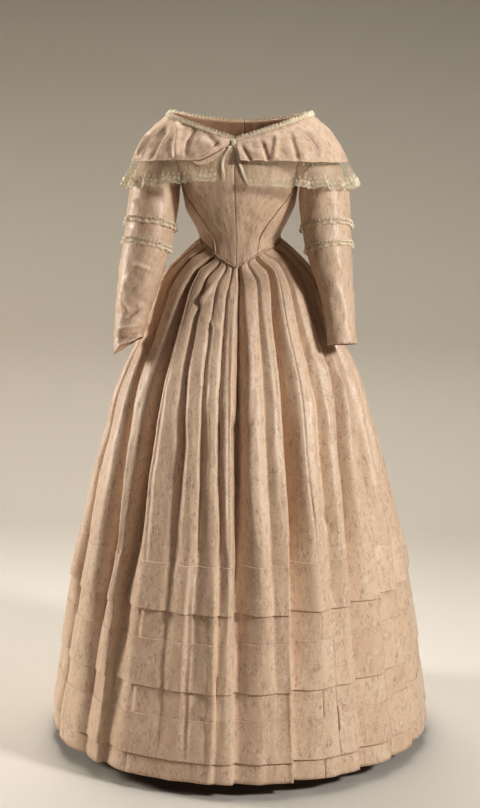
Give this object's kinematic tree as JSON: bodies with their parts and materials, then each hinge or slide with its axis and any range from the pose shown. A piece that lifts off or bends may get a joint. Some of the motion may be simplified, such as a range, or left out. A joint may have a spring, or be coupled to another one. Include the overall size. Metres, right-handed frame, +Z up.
{
  "type": "evening dress",
  "caption": "Long-sleeved off-shoulder evening dress of the 1840s, worn and hollow: pointed bodice, lace-edged bertha, pleated full skirt with deep tucks.",
  "frame": {"origin": "centre of the wearer's waist, at the side waist seam's height", "axes": "+Z up along the wearer's body, the front faces -Y, the wearer's left is +X"},
  "size_m": [0.8066, 0.8097, 1.2958],
  "materials": {
    "figured_silk": "satin",
    "ecru_lace": "matte",
    "cream_ribbon": "satin"
  },
  "bodies": {
    "root": {"bertha_fold_right": "figured_silk", "bertha_lace_left": "ecru_lace", "bertha_lace_right": "ecru_lace", "bertha_left": "figured_silk", "bertha_right": "figured_silk", "bodice_back_left": "figured_silk", "bodice_back_right": "figured_silk", "bodice_front_left": "figured_silk", "bodice_front_right": "figured_silk", "bodice_side_back_left": "figured_silk", "bodice_side_back_right": "figured_silk", "bodice_side_front_left": "figured_silk", "bodice_side_front_right": "figured_silk", "bow_knot": "cream_ribbon", "bow_tail_left": "cream_ribbon", "bow_tail_right": "cream_ribbon", "neck_lace_left": "ecru_lace", "neck_lace_right": "ecru_lace", "seam_piping_left": "figured_silk", "seam_piping_right": "figured_silk", "shoulder_strap_left": "figured_silk", "shoulder_strap_right": "figured_silk", "skirt_tuck_1": "figured_silk", "skirt_tuck_2": "figured_silk", "skirt_tuck_3": "figured_silk", "skirt_width_1": "figured_silk", "skirt_width_2": "figured_silk", "skirt_width_3": "figured_silk", "skirt_width_4": "figured_silk", "skirt_width_5": "figured_silk", "skirt_width_6": "figured_silk", "sleeve_lace_lower_left": "ecru_lace", "sleeve_lace_lower_right": "ecru_lace", "sleeve_lace_upper_left": "ecru_lace", "sleeve_lace_upper_right": "ecru_lace", "sleeve_left": "figured_silk", "sleeve_right": "figured_silk", "sleeve_tier_lower_left": "figured_silk", "sleeve_tier_lower_right": "figured_silk", "sleeve_tier_upper_left": "figured_silk", "sleeve_tier_upper_right": "figured_silk", "waist_piping": "figured_silk"}
  },
  "joints": []
}
